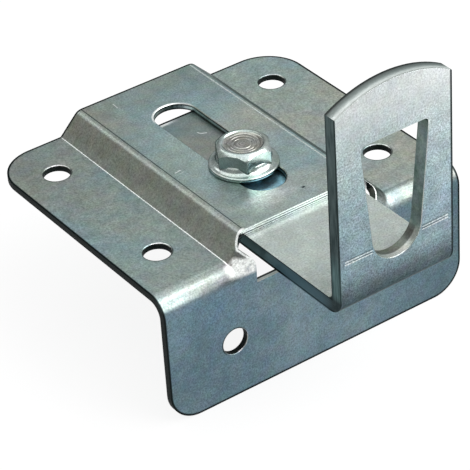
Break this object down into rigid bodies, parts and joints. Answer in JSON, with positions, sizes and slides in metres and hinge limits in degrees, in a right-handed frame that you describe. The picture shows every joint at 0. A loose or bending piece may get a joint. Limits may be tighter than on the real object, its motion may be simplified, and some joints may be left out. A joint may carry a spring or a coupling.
{
  "type": "cabinet hanger bracket",
  "caption": "Sheet-metal bracket that screws to a cabinet edge, with a sliding upright plate that hangs on a wall fixing by its keyhole and is clamped by a hexagon bolt",
  "frame": {"origin": "the middle of the four wing holes, on the face that lies on the cabinet panel", "axes": "+X across the bracket, +Y back along the channel, so that the upright plate stands out towards -Y, +Z away from the panel; the flange hangs down to -Z"},
  "size_m": [0.064, 0.0778, 0.0676],
  "materials": {
    "plated_sheet": "cold-rolled steel, bright zinc plating with a faint blue-green passivate, satin",
    "plated_plate": "sheared steel strip, bright zinc plating with a faint blue passivate, lightly scratched",
    "plated_bolt": "forged steel, bright zinc plating, smooth"
  },
  "bodies": {
    "base": {"base_bracket": "plated_sheet"},
    "slider": {"hook_plate": "plated_plate"},
    "bolt": {"clamp_bolt": "plated_bolt"}
  },
  "joints": [
    {"name": "plate_slide", "type": "slide", "parent": "base", "child": "slider", "axis": [0, 1, 0], "range_m": [-0.0055, 0.0209]},
    {"name": "bolt_turn", "type": "hinge", "parent": "slider", "child": "bolt", "pos_m": [0, -0.0087, 0.00535], "axis": [0, 0, 1], "range_deg": [0, 360]}
  ]
}
